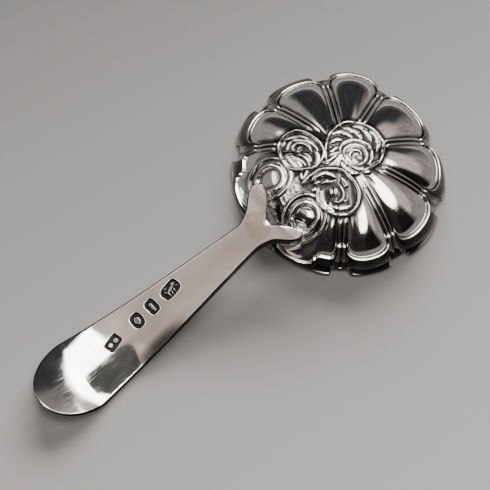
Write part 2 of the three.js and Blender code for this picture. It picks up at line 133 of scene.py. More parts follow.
# Strokes inside them: half width, height, then x and y along each
STROKES = (
    # In the left rosette
    (0.85, 0.36, -7.08, 5.84, -6.92, 4.55, -6.67, 3.39, -6.28, 2.64),
    (0.3, 0.32, -6.36, 7.43, -5.3, 7.73, -4.41, 7.35, -3.42, 6.58, -2.69, 5.5),
    (0.32, 0.36, -6.2, 6.39, -5.37, 6.91, -4.46, 6.77, -3.68, 6.02, -3.04, 5.07, -2.74, 3.72, -2.98, 2.48),
    (0.28, 0.38, -5.69, 5.54, -5.24, 6.08, -4.48, 6.02, -3.78, 5.39, -3.47, 4.31, -3.75, 3.25),
    (0.42, 0.42, -4.88, 5.29, -4.78, 4.92),
    (0.45, 0.36, -3.19, 3.43, -3.41, 2.21, -4.06, 1.43, -4.99, 1.29),
    (0.25, 0.32, -6.33, 5.27, -6.14, 4.26, -5.8, 3.22, -5.84, 2.21),
    (0.25, 0.34, -5.68, 4.59, -5.18, 3.72, -5.08, 2.63, -5.55, 1.7),
    (0.22, 0.34, -4.85, 4.13, -4.52, 3.06, -4.85, 1.94),
    (0.22, 0.26, -7.1, 1.88, -7.42, 1.37, -7.78, 0.7),
    (0.22, 0.26, -5.81, 1.51, -6.63, 1.23, -7.72, 0.65),
    # In the far rosette
    (0.28, 0.42, -0.61, 0.21, 0.3, 1.03, 1.43, 1.14, 2.61, 0.57, 3.44, -0.4, 3.88, -1.62, 3.41, -2.86, 2.55,
        -3.63, 1.33, -4.05),
    (0.28, 0.42, -0.55, -0.93, 0.1, 0.08, 1.1, 0.28, 2.17, -0.18, 2.83, -1.11, 2.75, -2.17, 2.11, -2.92,
        1.02, -3.2, 0.16, -2.75),
    (0.25, 0.38, 0.08, -1.64, 0.56, -0.83, 1.46, -0.76, 1.97, -1.37, 1.9, -2.18),
    (0.42, 0.42, 1.17, -1.82, 1.48, -2.67),
    (0.45, 0.36, -1.25, -0.79, -1.51, -2.06, -1.19, -3.37, -0.31, -4.29),
    (0.28, 0.34, -0.51, -1.6, -0.54, -2.61, 0.03, -3.65, 1.09, -4.08, 2.49, -4.19, 3.68, -4.27),
    (0.35, 0.32, 0.33, -4.49, 1.31, -5.05),
    (0.34, 0.34, -0.67, 2.54, 0.43, 2.4, 1.27, 1.67),
    (0.4, 0.34, 0.59, 3.55, 1.9, 3.12, 2.43, 2.05, 2.8, 1.01),
    (0.4, 0.34, 2.65, 3.49, 3.43, 2.22, 3.87, 1.03, 3.68, -0.14),
    (0.4, 0.34, 4.22, 2.63, 5.1, 1.44, 5.13, -0.19, 4.63, -1.27),
    (0.4, 0.34, 5.55, 1.0, 5.86, -0.58, 5.6, -1.88, 4.43, -2.92),
    (0.3, 0.34, -1.82, 1.45, -0.94, 1.27, 0.11, 1.29),
    (0.3, 0.4, -3.81, 0.88, -2.91, 0.39, -1.77, 0.29, -0.73, 0.31),
    # In the right rosette
    (0.4, 0.44, -7.09, -0.45, -5.91, -0.31, -4.59, -0.77, -3.93, -1.64, -3.63, -2.5),
    (0.34, 0.4, -3.02, -2.78, -2.99, -3.5, -3.08, -4.26, -3.24, -4.74),
    (0.52, 0.46, -6.31, -2.49, -7.14, -3.14, -7.58, -4.23, -7.5, -5.38, -7.05, -6.6),
    (0.46, 0.42, -6.76, -5.5, -6.4, -6.28, -5.42, -6.9, -4.63, -7.2),
    (0.2, 0.34, -6.7, -4.57, -6.9, -5.2, -6.85, -5.8),
    (0.3, 0.5, -5.4, -3.05, -5.55, -3.72, -6.02, -4.21),
    (0.26, 0.46, -4.74, -3.46, -4.97, -4.13, -5.61, -4.58),
    (0.2, 0.42, -3.99, -3.2, -3.97, -4.22, -4.28, -5.08, -4.92, -5.59, -5.64, -5.55, -6.27, -5.09),
    (0.2, 0.38, -6.03, -1.78, -5.42, -1.77, -4.71, -2.31, -4.04, -2.71),
    (0.24, 0.32, -6.9, -0.98, -6.27, -1.14, -5.89, -1.42),
    (0.22, 0.34, -5.08, -1.73, -4.77, -2.01),
    (0.34, 0.32, -6.93, -1.52, -7.42, -1.68, -7.9, -1.53),
    (0.2, 0.32, -4.36, -6.18, -5.06, -6.05),
)
STROKE_BREADTH = 1.4
# Volutes: centre, then rings as radius, half width and height, with a round boss in the middle
VOLUTES = ((-11.0, 4.74), (-10.85, -3.8))
VOLUTE_RINGS = ((3.25, 0.28, 0.24), (2.1, 0.46, 0.42))
VOLUTE_BOSS = (1.5, 0.28)
HAMMER_DEPTH = 0.035
# Discs inside which no reed is pressed: centre and radius
ROSETTE_DISCS = ((-4.84, 4.86, 3.7), (1.7, -0.72, 4.9), (-4.9, -3.9, 4.2))
VOLUTE_DISCS = ((-11.0, 4.74, 3.4), (-10.85, -3.8, 3.4))

# Handle, millimetres from the bowl's middle along it and from its own middle line across
HANDLE_SIDE = -0.87
HANDLE_END = -60.2
FORK_X = -16.4
NECK_X = -20.5
WIDEST_X = -52.8
FLAT_X = -47.5
NECK_THICKNESS = 1.8
END_THICKNESS = 1.15
ARM_THICKNESS = 1.7
ARM_DROOP = -0.25  # how far the arms' tips hang; less than zero lifts them
NECK_HALF = 2.4
END_HALF = 6.05
FORK_TOP = 6.92
END_RISE = (0.4, 1.75)  # a slow rise over the whole wide end, and a quick one near its tip
END_START = 0.42  # where the quick rise starts, as a share of the wide end
# Painted shade on the handle's rounded edges and walls
WALL_PAINTED_SHADE = 0.8
ARM_ROOT = (-18.4, 0.75)
ARM_TIP = (-13.6, 5.75)
ARM_WIDTHS = (3.3, 2.5)  # of the left arm, then the right one
SOLDER_SHARES = (0.5, 0.98)  # where the solder starts and ends along an arm
SOLDER_SPREAD = 0.22  # how much wider than the arm it runs out on the bowl
SOLDER_SINK = 0.14  # how far it reaches into the arm and the bowl
WIDE_FALL = 0.46  # the face falls by this to the right over the wide end
TIP_FALL = 0.4  # and by this to the left towards the tip
FILED_SLOPE = 0.13  # how steeply the far side of the right arm is filed down
# Spacing of the mesh's points on the outline and the face, in the marks, and underneath
OUTLINE_SPACING = 0.17
MARK_SPACING = 0.065
UNDER_SPACING = 0.5
MARK_TARNISH = (1.8, 1.5)  # how quickly the marks darken with depth, and how far
RIGHT_EDGE_DARKENING = (0.85, -40.5, 3.8)  # darker patch by the right edge: strength, middle along the handle and reach
SHADED_SIDE = (0.26, -0.97)  # walls that face this way, or straight away from it, are darkened with painted shade

# Outline of the patch that the heat of soldering left at the fork
STAIN = (
    (-17.9, 2.8), (-16.6, 2.3), (-15.7, 1.2), (-16.1, 0.0), (-16.7, -1.5), (-17.7, -2.0), (-19.0, -1.8),
    (-19.8, -0.6), (-19.6, 1.4), (-18.9, 2.4),
)

# Middle of the bowl in the part's frame, metres, from the handle's end and its two sides
CENTRE = (
    HANDLE_BOX[0][0] - HANDLE_END * MM,
    (HANDLE_BOX[0][1] + HANDLE_BOX[1][1]) / 2 - HANDLE_SIDE * MM,
)

# Struck marks: centre along and across the handle, half length, half width, turn in degrees, squareness,
# then raised figures as centre, half length, half width, turn and squareness within the mark
MARKS = (
    ((-46.1, 0.75), 1.3, 0.88, 18, 8, (((-0.55, 0.1), 0.42, 0.42, 0, 2), ((0.5, -0.05), 0.42, 0.42, 0, 2))),
    ((-41.1, 1.15), 0.98, 1.22, 0, 2.6, (((0.0, 0.0), 0.5, 0.72, 0, 2),)),
    ((-38.0, 1.4), 0.86, 1.22, 6, 3.5, (((0.0, 0.0), 0.26, 0.78, 0, 6),)),
    ((-34.2, 1.6), 1.6, 1.08, 10, 3.2, (
        ((0.0, 0.1), 0.72, 0.22, 15, 2), ((0.85, 0.42), 0.3, 0.26, 0, 2), ((0.42, -0.42), 0.42, 0.13, 75, 2),
        ((-0.62, -0.42), 0.42, 0.14, 80, 2), ((1.0, -0.18), 0.34, 0.12, 150, 2),
        ((-0.92, 0.3), 0.4, 0.13, 115, 2), ((-0.55, 0.68), 0.32, 0.12, 10, 2),
        ((-0.1, -0.5), 0.34, 0.12, 60, 2),
    )),
)

# Finish
SCRATCH_TURNS = (18, 74, 131)  # degrees
SCRATCH_STRETCH = (260.0, 9000.0, 260.0)
SCRATCH_ROUGHNESS = 0.09
TARNISH_ROUGHNESS = 0.25
STAIN_ROUGHNESS = 0.1
BRIGHTNESS_LEFT = 0.012  # share of the silver's colour that full tarnish, and full painted shade, leave


class SpoonSizes(bpy.types.PropertyGroup):
    """Sizes of the spoon that may be changed."""
    dome_height: FloatProperty(
        name="Dome height", description="Rest surface to the top of the plain dome",
        default=8.4 * MM, unit="LENGTH")
    sheet_thickness: FloatProperty(
        name="Sheet thickness", description="Thickness of the bowl's silver sheet",
        default=0.55 * MM, unit="LENGTH")
    petal_swell: FloatProperty(
        name="Petal swell", description="How far a full petal swells above the plain dome",
        default=1.05 * MM, unit="LENGTH")
    reed_height: FloatProperty(
        name="Reed height", description="Height of the fine reeds between two petals",
        default=0.26 * MM, unit="LENGTH")
    reed_count: IntProperty(
        name="Reeds", description="Number of reeds side by side between two petals",
        default=2, min=1, max=5)
    ornament_height: FloatProperty(
        name="Ornament height", description="Scale of the pressed scrolls, one as measured",
        default=1.0, subtype="FACTOR")
    edge_round: FloatProperty(
        name="Edge rounding", description="Rounding of the handle's edges",
        default=0.28 * MM, unit="LENGTH")
    crown: FloatProperty(
        name="Handle crown", description="How far the handle's face falls from its middle to its edges",
        default=0.16 * MM, unit="LENGTH")
    mark_depth: FloatProperty(
        name="Mark depth", description="Depth of the struck marks",
        default=0.16 * MM, unit="LENGTH")


class SpoonFinish(bpy.types.PropertyGroup):
    """Colours and polish of the silver."""
    silver: FloatVectorProperty(
        name="Silver", description="Colour of the polished silver",
        default=(0.93, 0.905, 0.88), size=3, subtype="COLOR", min=0, max=1)
    # This colour also paints shade: the bowl's skirt, the petals' end grooves and the handle's walls are
    # darkened towards it
    tarnish_and_painted_shade: FloatVectorProperty(
        name="Tarnish", description="Colour of the silver in the hollows",
        default=(0.009, 0.008, 0.007), size=3, subtype="COLOR", min=0, max=1)
    stain: FloatVectorProperty(
        name="Stain", description="Colour left by the heat of soldering",
        default=(0.53, 0.44, 0.32), size=3, subtype="COLOR", min=0, max=1)
    solder: FloatVectorProperty(
        name="Solder", description="Colour of the hard solder",
        default=(0.74, 0.69, 0.60), size=3, subtype="COLOR", min=0, max=1)
    roughness: FloatProperty(
        name="Roughness", description="Roughness of the polished silver",
        default=0.05, subtype="FACTOR", min=0, max=1)
    scratch: FloatProperty(
        name="Scratches", description="Strength of the fine scratches",
        default=0.02, subtype="FACTOR", min=0, max=1)


class SpoonStudio(bpy.types.PropertyGroup):
    """Floor and light."""
    floor: FloatVectorProperty(
        name="Floor", description="Colour of the floor",
        default=(0.107, 0.103, 0.100), size=3, subtype="COLOR", min=0, max=1)
    strength: FloatProperty(
        name="Light", description="Strength of the studio light", default=1.0, min=0)


def mix(first, second, share):
    return first + (second - first) * share


def ease(value, low, high):
    share = np.clip((value - low) / (high - low), 0, 1)
    return share * share * (3 - 2 * share)


# Node trees

def add_node(tree, kind, inputs=None, **settings):
    """A node with its settings and its inputs, each a number, a colour or another node's socket."""
    node = tree.nodes.new(kind)
    for name, value in settings.items():
        setattr(node, name, value)
    for name, value in (inputs or {}).items():
        if isinstance(value, bpy.types.NodeSocket):
            tree.links.new(value, node.inputs[name])
        else:
            node.inputs[name].default_value = value
    return node


def calc(tree, operation, *values, clamp=False):
    node = add_node(tree, "ShaderNodeMath", dict(enumerate(values)), operation=operation, use_clamp=clamp)
    return node.outputs[0]


def map_range(tree, value, low, high, to_low=0.0, to_high=1.0, smooth=False):
    node = add_node(tree, "ShaderNodeMapRange", {
        "Value": value, "From Min": low, "From Max": high, "To Min": to_low, "To Max": to_high,
    }, interpolation_type="SMOOTHSTEP" if smooth else "LINEAR")
    return node.outputs["Result"]


def scaled(tree, vector, amount):
    inputs = {0: vector, "Scale": amount}
    return add_node(tree, "ShaderNodeVectorMath", inputs, operation="SCALE").outputs[0]


def mix_colour(tree, share, first, second):
    first, second = (c if isinstance(c, bpy.types.NodeSocket) else (*c, 1) for c in (first, second))
    return add_node(tree, "ShaderNodeMix", {0: share, 6: first, 7: second}, data_type="RGBA").outputs[2]


def noise(tree, place, scale, detail, roughness=0.5):
    inputs = {"Vector": place, "Scale": scale, "Detail": detail, "Roughness": roughness}
    return add_node(tree, "ShaderNodeTexNoise", inputs).outputs[0]


def bump(tree, inputs):
    return add_node(tree, "ShaderNodeBump", inputs).outputs[0]


def painted(tree, name):
    """A value that the mesh carries at its points."""
    return add_node(tree, "ShaderNodeAttribute", attribute_name=name).outputs["Fac"]


def new_material(name):
    """An empty material, its tree and the place on the object."""
    material = bpy.data.materials.new(name)
    material.use_nodes = True
    tree = material.node_tree
    tree.nodes.clear()
    return material, tree, tree.nodes.new("ShaderNodeTexCoord").outputs["Object"]


def shade(tree, inputs):
    shader = add_node(tree, "ShaderNodeBsdfPrincipled", inputs)
    add_node(tree, "ShaderNodeOutputMaterial", {"Surface": shader.outputs[0]})


def streaks(tree, place, turn):
    """Thin straight scratches that run one way, as a mask."""
    turned = add_node(tree, "ShaderNodeMapping", {
        "Vector": place, "Rotation": (0, 0, math.radians(turn)), "Scale": SCRATCH_STRETCH,
    })
    return map_range(tree, noise(tree, turned.outputs[0], 1.0, 2.0, 0.6), 0.62, 0.72, smooth=True)


def silver_material(name, finish, stained=False):
    """Polished silver with fine scratches, dark tarnish in the hollows, painted shade from the mesh's mask
    and a slightly uneven face.
    """
    material, tree, place = new_material(name)
    first, *others = (streaks(tree, place, turn) for turn in SCRATCH_TURNS)
    scratch = first
    for other in others:
        scratch = calc(tree, "MAXIMUM", scratch, other)
    cloud = noise(tree, place, 260.0, 4.0)
    mottle = map_range(tree, cloud, 0.3, 0.65, 0.55, 1.0)
    # The mesh's mask darkens the silver towards the tarnish colour: tarnish in the ornament's hollows and the
    # marks, and painted shade on the skirt, the petals' end grooves and the handle's walls
    dull = calc(tree, "MULTIPLY", painted(tree, "patina_and_painted_shade"), mottle, clamp=True)
    worn = [c * f for c, f in zip(finish.silver, (0.95, 0.945, 0.93))]
    warm = mix_colour(tree, map_range(tree, cloud, 0.35, 0.7), finish.silver, worn)
    colour = mix_colour(tree, calc(tree, "POWER", BRIGHTNESS_LEFT, dull), finish.tarnish_and_painted_shade, warm)
    rough = map_range(tree, cloud, 0.3, 0.7, finish.roughness * 0.8, finish.roughness * 1.5)
    rough = calc(tree, "MULTIPLY_ADD", scratch, SCRATCH_ROUGHNESS, rough)
    rough = calc(tree, "MULTIPLY_ADD", dull, TARNISH_ROUGHNESS, rough)
    if stained:
        patchy = calc(tree, "MULTIPLY", painted(tree, "stain"), map_range(tree, cloud, 0.35, 0.65, 0.5, 1.0))
        colour = mix_colour(tree, patchy, colour, finish.stain)
        rough = calc(tree, "MULTIPLY_ADD", patchy, STAIN_ROUGHNESS, rough)
    wave = noise(tree, place, 190.0, 1.0)
    uneven = bump(tree, {"Strength": 0.06, "Distance": 0.0004, "Height": wave})
    shade(tree, {"Metallic": 1.0, "Base Color": colour, "Roughness": rough, "Normal": bump(tree, {
        "Strength": finish.scratch, "Distance": 0.00005, "Height": calc(tree, "SUBTRACT", 1.0, scratch),
        "Normal": uneven,
    })})
    return material


def solder_material(finish):
    """Hard solder: yellowish, dull and grainy beside the polished silver."""
    material, tree, place = new_material("hard_solder")
    grain = noise(tree, place, 2400.0, 5.0)
    cloud = map_range(tree, noise(tree, place, 700.0, 3.0), 0.35, 0.7)
    shade(tree, {
        "Metallic": 1.0,
        "Base Color": mix_colour(tree, cloud, finish.solder, [c * 0.55 for c in finish.solder]),
        "Roughness": map_range(tree, grain, 0.3, 0.7, 0.28, 0.5),
        "Normal": bump(tree, {"Strength": 0.5, "Distance": 0.00008, "Height": grain}),
    })
    return material


# Meshes

def show(name, data):
    thing = bpy.data.objects.new(name, data)
    bpy.context.scene.collection.objects.link(thing)
    return thing


def new_piece(name, points, faces, attributes, material):
    """An object at the origin from points in millimetres about the bowl's middle."""
    mesh = bpy.data.meshes.new(name)
    placed = np.asarray(points, float) * MM + np.array([*CENTRE, 0])
    mesh.from_pydata(placed.tolist(), [], faces)
    for key, values in attributes.items():
        layer = mesh.attributes.new(key, "FLOAT", "POINT")
        layer.data.foreach_set("value", np.asarray(values, np.float32))
    mesh.materials.append(material)
    mesh.polygons.foreach_set("use_smooth", [True] * len(mesh.polygons))
    mesh.update()
    return show(name, mesh)


def declare(piece, node):
    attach(piece, "root")
    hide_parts(node)


def ring_faces(rows, columns):
    """Quads between rows of points that go round, each row outside the one before, facing up."""
    faces = []
    for row in range(rows - 1):
        low = row * columns
        for column in range(columns):
            right = (column + 1) % columns
            faces.append((low + column, low + columns + column, low + columns + right, low + right))
    return faces


def fan(middle, start, columns, turned=False):
    """Triangles between one point and a row of points that goes round."""
    faces = [(middle, start + column, start + (column + 1) % columns) for column in range(columns)]
    return [face[::-1] for face in faces] if turned else faces


def smooth_curve(points, closed=False):
    """A smooth line through the points, eight steps from each to the next."""
    points = np.asarray(points, float)
    if closed:
        around = np.vstack([points[-1:], points, points[:2]])
    else:
        around = np.vstack([2 * points[:1] - points[1:2], points, 2 * points[-1:] - points[-2:-1]])
    share = np.linspace(0, 1, 8, endpoint=False)[:, None]
    line = []
    for k in range(len(around) - 3):
        a, b, c, d = around[k:k + 4]
        line.append(0.5 * (2 * b + (c - a) * share + (2 * a - 5 * b + 4 * c - d) * share ** 2
                           + (3 * b - a - 3 * c + d) * share ** 3))
    line.append(points[:1] if closed else points[-1:])
    return np.vstack(line)


def line_distance(line, x, y):
    """Distance of each point to a line and how far along the line its nearest place is, from 0 to 1."""
    nearest = np.full(x.shape, 1e6)
    along = np.zeros(x.shape)
    count = len(line) - 1
    for k, (start, end) in enumerate(zip(line[:-1], line[1:])):
        run = end - start
        share = ((x - start[0]) * run[0] + (y - start[1]) * run[1]) / max(run @ run, 1e-12)
        share = np.clip(share, 0, 1)
        away = np.hypot(x - start[0] - share * run[0], y - start[1] - share * run[1])
        closer = away < nearest
        nearest = np.where(closer, away, nearest)
        along = np.where(closer, (k + share) / count, along)
    return nearest, along


def raise_line(relief, x, y, flat, half_width, height, closed=False, taper=True):
    """Lifts a rounded line out of the relief."""
    line = smooth_curve(np.reshape(flat, (-1, 2)), closed)
    low, high = line.min(0) - half_width, line.max(0) + half_width
    near = (x > low[0]) & (x < high[0]) & (y > low[1]) & (y < high[1])
    if not near.any():
        return
    away, along = line_distance(line, x[near], y[near])
    thin = 1 - 0.8 * np.abs(2 * along - 1) ** 3 if taper else 1.0
    rise = height * np.sqrt(thin) * np.clip(1 - (away / (half_width * thin)) ** 2, 0, None)
    relief[near] = np.maximum(relief[near], rise)


def hammered(x, y):
    """Shallow dents between the handle and the scrolls."""
    dents = np.sin(5.1 * x + 2.2 * np.sin(2.3 * y)) * np.sin(4.3 * y + 1.7 * np.sin(2.9 * x))
    share = ease(-x, 7.0, 9.0) * (1 - ease(np.hypot(x + 11.5, y - 0.4), 6.5, 8.0))
    return HAMMER_DEPTH * dents * share * calm_share(x, y, VOLUTE_DISCS)


def ornament_relief(x, y):
    """Height of the pressed ornament over the dome, in millimetres."""
    relief = np.zeros(x.shape)
    for closed, flat in RINGS:
        raise_line(relief, x, y, flat, RING_HALF_WIDTH, RING_HEIGHT, closed, taper=False)
    for half_width, height, *flat in STROKES:
        raise_line(relief, x, y, flat, half_width * STROKE_BREADTH, height)
    for centre_x, centre_y in VOLUTES:
        away = np.hypot(x - centre_x, y - centre_y)
        for radius, half_width, height in VOLUTE_RINGS:
            rise = height * np.clip(1 - ((away - radius) / half_width) ** 2, 0, None) ** 0.8
            relief = np.maximum(relief, rise)
        boss_radius, boss_height = VOLUTE_BOSS
        relief = np.maximum(relief, boss_height * np.clip(1 - (away / boss_radius) ** 2, 0, None))
    return relief + hammered(x, y)


def calm_share(x, y, discs=ROSETTE_DISCS + VOLUTE_DISCS):
    """Zero inside the ornaments, one clear of them."""
    share = np.ones(x.shape)
    for centre_x, centre_y, radius in discs:
        share = np.minimum(share, ease(np.hypot(x - centre_x, y - centre_y), radius + 0.1, radius + 0.7))
    return share


# Bowl

def bowl_columns():
    """The columns of the bowl's mesh: where each runs between two edges, and what form it has there."""
    left = list(zip(EDGE_ANGLES, LEFT_FORMS))
    right = [(-angle, form) for angle, form in zip(EDGE_ANGLES, RIGHT_FORMS)]
    edges = sorted(right + left)
    reeded_angles = EDGE_ANGLES[:REEDED_COUNT]
    columns = []
    for k, (angle, form) in enumerate(edges):
        following = edges[(k + 1) % len(edges)][0]
        span = (following - angle) % 360
        reeded = abs(angle) in reeded_angles
        next_reeded = abs(following) in reeded_angles
        steps = BAND_STEPS[reeded]
        for step in range(-steps, steps + 1):
            offset = step / steps
            columns.append((angle, 0, offset, 0, reeded, reeded, 1, offset if reeded else NO_REED, form))
        count = FORMS[form][4]
        for place in range(count):
            even = 2 * (place + 1) / (count + 1) - 1
            across = mix(even, math.sin(even * math.pi / 2), 0.6)
            share = (1 + across) / 2
            columns.append((
                angle, span * share, 1 - share, -share, reeded, next_reeded, abs(across), NO_REED, form))
    return columns


def bowl_base(sizes):
    """Rows and columns of the stamped sheet before its petals, reeds and ornament are pressed in."""
    columns = bowl_columns()
    angle, turn, low, high, low_reeded, high_reeded, across, offset = np.array(
        [column[:8] for column in columns], float).T
    forms = np.array([FORMS[column[8]][:4] for column in columns])

    deep = mix(low_reeded, high_reeded, -high)
    notch_radius, notch_height, notch_inset = (
        mix(plain, cut, deep) for plain, cut in zip(PLAIN_NOTCH, (NOTCH_RADIUS, NOTCH_HEIGHT, 1)))

    def shoulder(radius):
        power = mix(INNER_POWER, OUTER_POWER, ease(radius, NOTCH_RADIUS / 2, NOTCH_RADIUS))
        full = (1 - across ** power) ** (1 / power)
        return mix(notch_radius, forms[:, 0], full), mix(notch_height, forms[:, 1], full), full

    edge_radius, edge_height, edge_full = shoulder(NOTCH_RADIUS)
    lip = forms[:, 3] * ease(edge_full, 0, 0.55)
    lip_rise = LIP_RISE * lip
    dome_height = sizes.dome_height / MM
    thickness = sizes.sheet_thickness / MM

    def angles(radius, band):
        reach = np.maximum(radius, REED_INNER)
        halves = [np.degrees(np.arcsin(np.where(reeded > 0, band, CREASE) / 2 / reach))
                  for reeded in (low_reeded, high_reeded)]
        return angle + turn + low * halves[0] + high * halves[1]

    rows = []

    def add_row(radius, height, turned, swell, fade):
        rows.append([np.broadcast_to(v, angle.shape) for v in (radius, height, turned, swell, fade)])

    shares = np.concatenate([
        np.linspace(0, DOME_END, DOME_ROWS + 1)[1:],
        DOME_END + (1 - DOME_END) * np.sin(np.linspace(0, math.pi / 2, DOME_END_ROWS + 1)[1:]),
    ])
    for share in shares:
        radius_here, height_here, _ = shoulder(share * NOTCH_RADIUS)
        radius = share * (radius_here - LIP_WIDTH)
        end_height = height_here - lip_rise
        height = end_height + (dome_height - end_height) * (1 - share ** 2) ** DOME_POWER
        swell = forms[:, 2] * (1 - across ** 2) * share ** 2 * (1 - share ** 20)
        fade = ease(radius, REED_INNER * 0.8, REED_INNER * 1.2)
        add_row(radius, height, angles(radius, REED_BAND), swell, fade)
    end_height = edge_height - lip_rise
    for out, rise in LIP_ROWS:
        radius = edge_radius - LIP_WIDTH * (1 - out)
        add_row(radius, end_height + lip_rise * rise, angles(radius, REED_BAND), 0, 1)
    shoulder_angle = angles(edge_radius, REED_BAND)
    rim_angle = angles(RIM_RADIUS, REED_BAND_RIM)
    dent, dent_angle, dent_spread = RIM_DENT
    swell, swell_angle, swell_spread = RIM_SWELL
    rim_radius = RIM_RADIUS - dent * np.exp(-((shoulder_angle - dent_angle) / dent_spread) ** 2)
    rim_radius += swell * np.exp(-((shoulder_angle - swell_angle) / swell_spread) ** 2)
    rim_radius -= RIM_INSET * notch_inset * (1 - (1 - across ** RIM_POWER) ** (1 / RIM_POWER))
    skirt_top = end_height + lip_rise * LIP_ROWS[-1][1]
    skirt_shade = []
    for out in np.linspace(0, 1, SKIRT_ROWS + 1)[1:] ** 1.4:
        down = SKIRT_START * out - (SKIRT_START - 1) * out ** 2
        add_row(mix(edge_radius, rim_radius, out), mix(skirt_top, RIM_EDGE, down),
                mix(shoulder_angle, rim_angle, down), 0, 1 - down ** 4)
        skirt_shade.append(SKIRT_PAINTED_SHADE * (1 - down ** 3))
    for inward, height in RIM_ROWS:
        add_row(rim_radius - inward * thickness / RIM_ROWS_SHEET, height, rim_angle, 0, 0)
    outer = len(rows) - len(RIM_ROWS)
    for back in INNER_ROWS:
        row = outer + back
        here, ahead, behind = (np.array(rows[row + step]) for step in (0, 1, -1))
        run, fall = ahead[0] - behind[0], behind[1] - ahead[1]
        slope = np.hypot(run, fall)
        inner_height = np.maximum(here[1] - thickness * run / slope, 0)
        add_row(here[0] - thickness * fall / slope, inner_height, here[2], here[3], 0)
    radius, height, turned, swell, fade = np.array(rows).transpose(1, 0, 2)
    x = radius * np.cos(np.radians(turned)) * LENGTH_RATIO
    y = radius * np.sin(np.radians(turned))
    relief = np.zeros(x.shape)
    dome = len(shares)
    relief[:dome] = ornament_relief(x[:dome], y[:dome])
    fade = fade.copy()
    fade[:dome] *= calm_share(x[:dome], y[:dome])
    # Painted shade: the grooves at the petals' ends, partly their tarnish, and the flared skirt are darkened
    tarnish_and_painted_shade = np.zeros(x.shape)
    skirt = dome + len(LIP_ROWS)
    tarnish_and_painted_shade[dome:skirt] = np.outer([CHANNEL_TARNISH_AND_SHADE * (out < 0.45) for out, _ in LIP_ROWS], lip)
    tarnish_and_painted_shade[skirt:outer] = np.array(skirt_shade)[:, None]
    tarnish_and_painted_shade *= np.where(np.abs(offset) < REED_LIMIT, BAND_TARNISH_AND_SHADE, 1)
    return x, y, height, swell, fade, relief, np.broadcast_to(offset, x.shape), tarnish_and_painted_shade


def pressing_tree(material):
    """Geometry nodes that press petals, reeds and ornament into the plain sheet."""
    tree = bpy.data.node_groups.new("press_bowl", "GeometryNodeTree")
    sockets = {}
    kinds = {"Petal Swell": "Float", "Reed Height": "Float", "Reeds": "Int", "Ornament": "Float"}
    face = tree.interface
    face.new_socket("Sheet", in_out="INPUT", socket_type="NodeSocketGeometry")
    for name, kind in kinds.items():
        sockets[name] = face.new_socket(name, in_out="INPUT", socket_type="NodeSocket" + kind).identifier
    face.new_socket("Bowl", in_out="OUTPUT", socket_type="NodeSocketGeometry")
    given = tree.nodes.new("NodeGroupInput").outputs

    def attribute(name):
        node = add_node(tree, "GeometryNodeInputNamedAttribute", {"Name": name}, data_type="FLOAT")
        return node.outputs[0]

    up = add_node(tree, "ShaderNodeCombineXYZ", {"Z": 1.0}).outputs[0]
    swell = calc(tree, "MULTIPLY", attribute("swell"), given["Petal Swell"])
    swelled = add_node(tree, "GeometryNodeSetPosition", {
        "Geometry": given["Sheet"], "Offset": scaled(tree, up, swell),
    })
    offset = attribute("reed_offset")
    turns = calc(tree, "MULTIPLY", calc(tree, "ADD", offset, 1.0), given["Reeds"])
    wave = calc(tree, "COSINE", calc(tree, "MULTIPLY", turns, math.pi))
    within = calc(tree, "LESS_THAN", calc(tree, "ABSOLUTE", offset), REED_LIMIT)
    reed = calc(tree, "MULTIPLY", calc(tree, "MULTIPLY_ADD", wave, -0.5, 0.5), within)
    reed = calc(tree, "MULTIPLY", calc(tree, "MULTIPLY", reed, attribute("reed_fade")), given["Reed Height"])
    relief = calc(tree, "MULTIPLY", attribute("relief"), given["Ornament"])
    raised = calc(tree, "ADD", reed, relief)
    normal = tree.nodes.new("GeometryNodeInputNormal").outputs[0]
    pressed = add_node(tree, "GeometryNodeSetPosition", {
        "Geometry": swelled.outputs[0], "Offset": scaled(tree, normal, raised),
    })
    real = add_node(tree, "GeometryNodeRealizeInstances", {"Geometry": pressed.outputs[0]})
    done = add_node(tree, "GeometryNodeSetMaterial", {"Geometry": real.outputs[0], "Material": material})
    add_node(tree, "NodeGroupOutput", {"Bowl": done.outputs[0]})
    return tree, sockets


def apply_tree(piece, tree, values):
    """Turns a piece into what its node tree makes of it."""
    modifier = piece.modifiers.new(tree.name, "NODES")
    modifier.node_group = tree
    for identifier, value in values.items():
        modifier[identifier] = value
    depsgraph = bpy.context.evaluated_depsgraph_get()
    made = bpy.data.meshes.new_from_object(
        piece.evaluated_get(depsgraph), preserve_all_data_layers=True, depsgraph=depsgraph)
    piece.modifiers.remove(modifier)
    piece.data = made


def hollows(raised):
    """How deep each point of a grid lies below the relief round it, from 0 to 1."""
    blurred = raised.copy()
    for _ in range(HOLLOW_ROUNDS):
        rows = np.vstack([blurred[:1], blurred, blurred[-1:]])
        blurred = (rows[:-2] + rows[2:] + np.roll(blurred, 1, 1) + np.roll(blurred, -1, 1)) / 4
    return np.clip((blurred - raised - 0.01) / 0.1, 0, 1)


